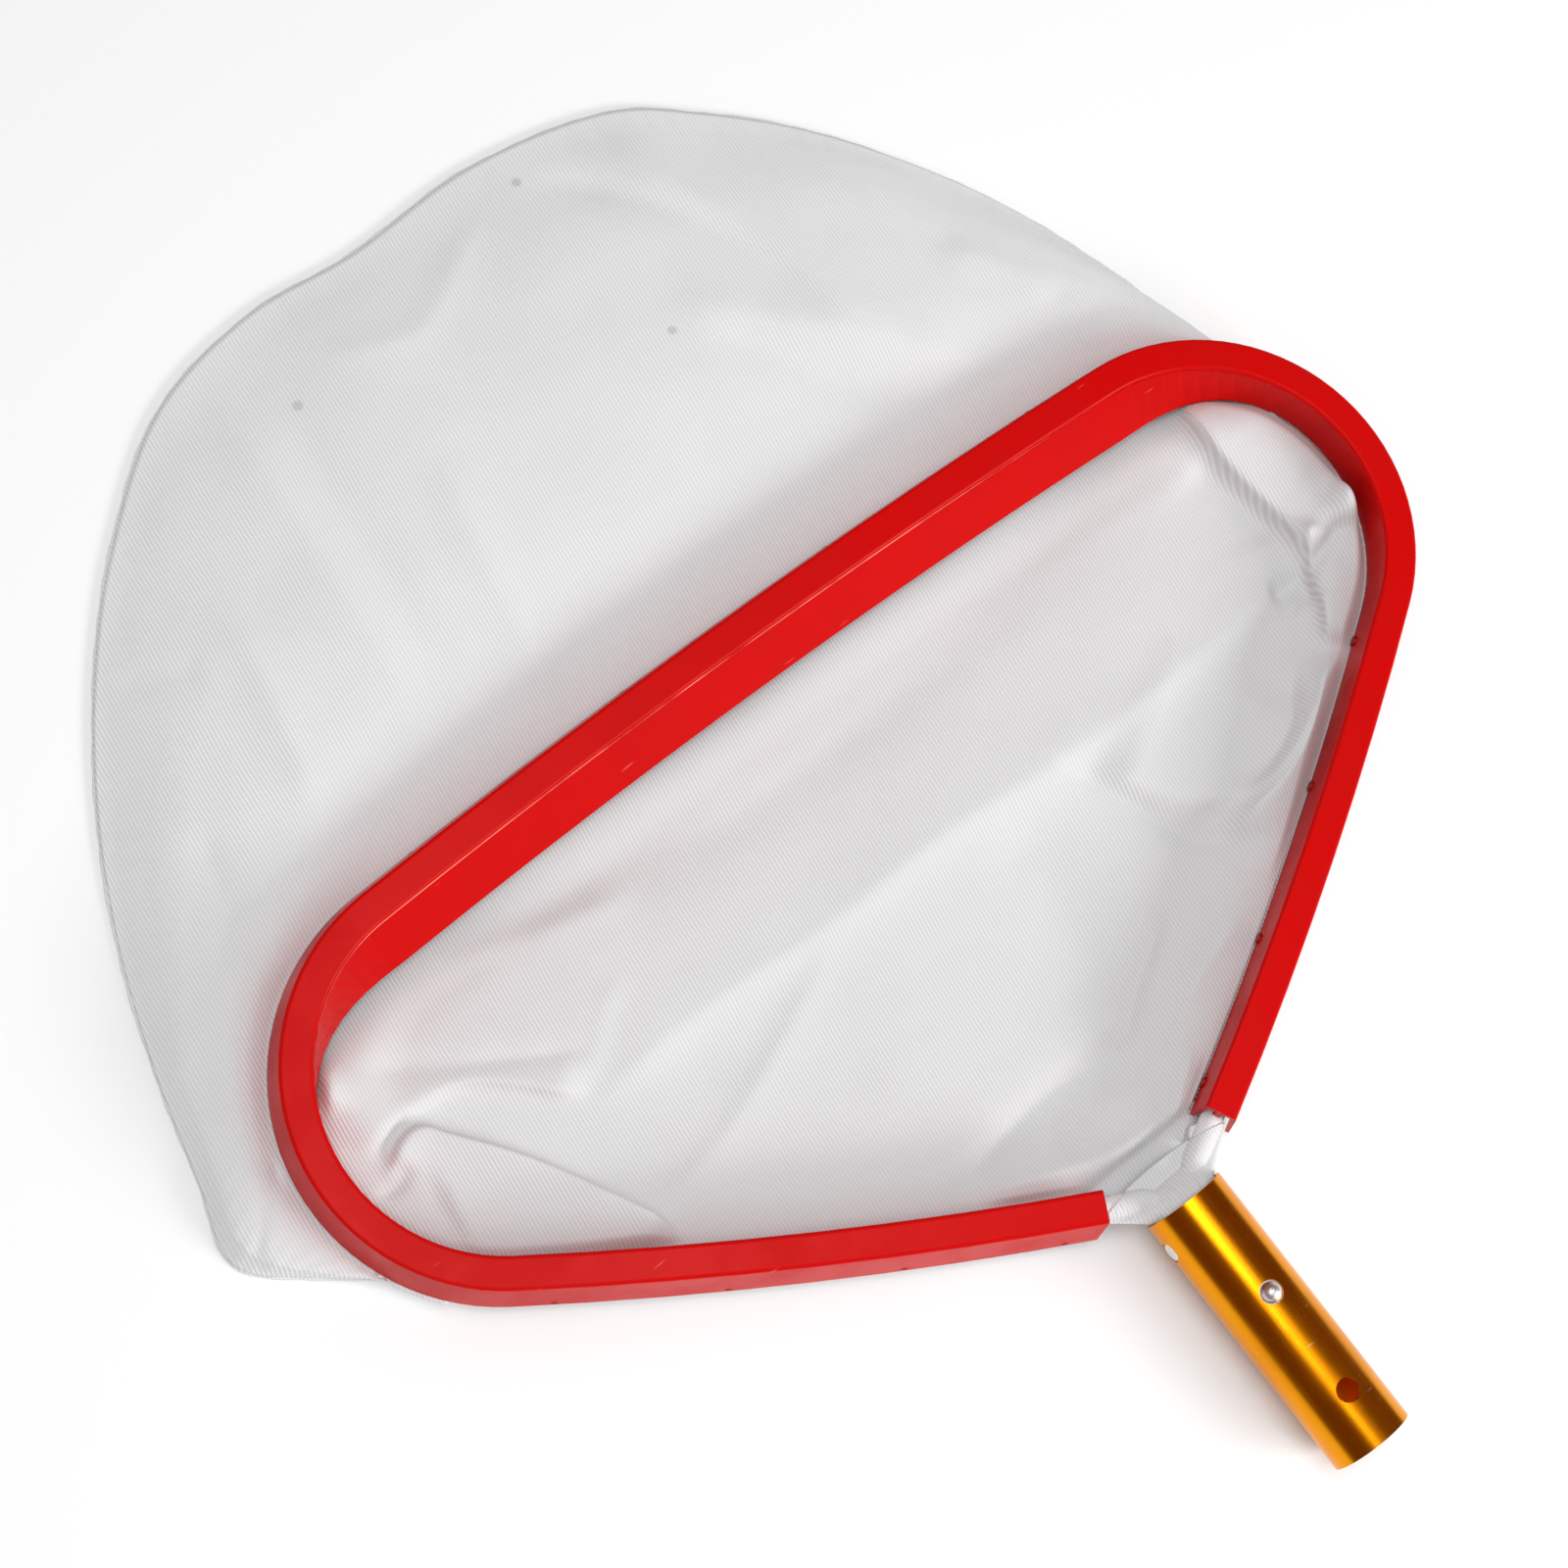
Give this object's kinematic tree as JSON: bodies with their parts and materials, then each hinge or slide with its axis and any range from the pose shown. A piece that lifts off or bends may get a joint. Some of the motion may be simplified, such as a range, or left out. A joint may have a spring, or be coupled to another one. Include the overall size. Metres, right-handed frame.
{
  "type": "leaf skimmer net",
  "caption": "Pool leaf skimmer: D-shaped loop with a plastic rim strip and scoop lip, flat mesh bag laid out in front, tubular handle socket with sprung button clip.",
  "frame": {"origin": "centre of the handle socket's open end, on the tube's axis", "axes": "+Y along the handle socket towards the front of the net, +Z towards the side debris enters from, +X across the loop"},
  "size_m": [0.4937, 0.5382, 0.035],
  "materials": {
    "gold_anodised": "gold anodised tube, drawn lines along it",
    "bare_steel": "spring steel and rivet steel",
    "bare_aluminium": "mill finish rod",
    "rim_red": "semi-gloss moulded plastic",
    "plug_plastic": "matt moulded plastic",
    "mesh_cloth": "fine white twill mesh",
    "hem_cloth": "doubled white hem and binding"
  },
  "bodies": {
    "net_frame": {"handle_socket": "gold_anodised", "plug_upper": "plug_plastic", "plug_lower": "plug_plastic", "plug_rivet": "bare_steel", "rivet_washer": "bare_steel", "clip_bend": "bare_steel", "frame_rod": "bare_aluminium", "rim_strip": "rim_red", "scoop_lip": "rim_red", "rim_pins": "bare_steel", "rim_hem": "hem_cloth", "neck_wrap_left": "hem_cloth", "neck_wrap_right": "hem_cloth", "neck_gusset": "mesh_cloth", "net_upper_panel": "mesh_cloth", "net_lower_panel": "mesh_cloth", "net_side_wall": "mesh_cloth", "bag_seam": "hem_cloth"},
    "upper_clip": {"clip_arm_upper": "bare_steel", "clip_button_upper": "bare_steel"},
    "lower_clip": {"clip_arm_lower": "bare_steel", "clip_button_lower": "bare_steel"}
  },
  "joints": [
    {"name": "upper_button_press", "type": "hinge", "parent": "net_frame", "child": "upper_clip", "pos_m": [0, 0.031, 0.004], "axis": [-1, 0, 0], "range_deg": [0, 6], "stiffness_Nm_per_rad": 1.5, "springref_deg": -5.73},
    {"name": "lower_button_press", "type": "hinge", "parent": "net_frame", "child": "lower_clip", "pos_m": [0, 0.031, -0.004], "axis": [1, 0, 0], "range_deg": [0, 6], "stiffness_Nm_per_rad": 1.5, "springref_deg": -5.73}
  ]
}
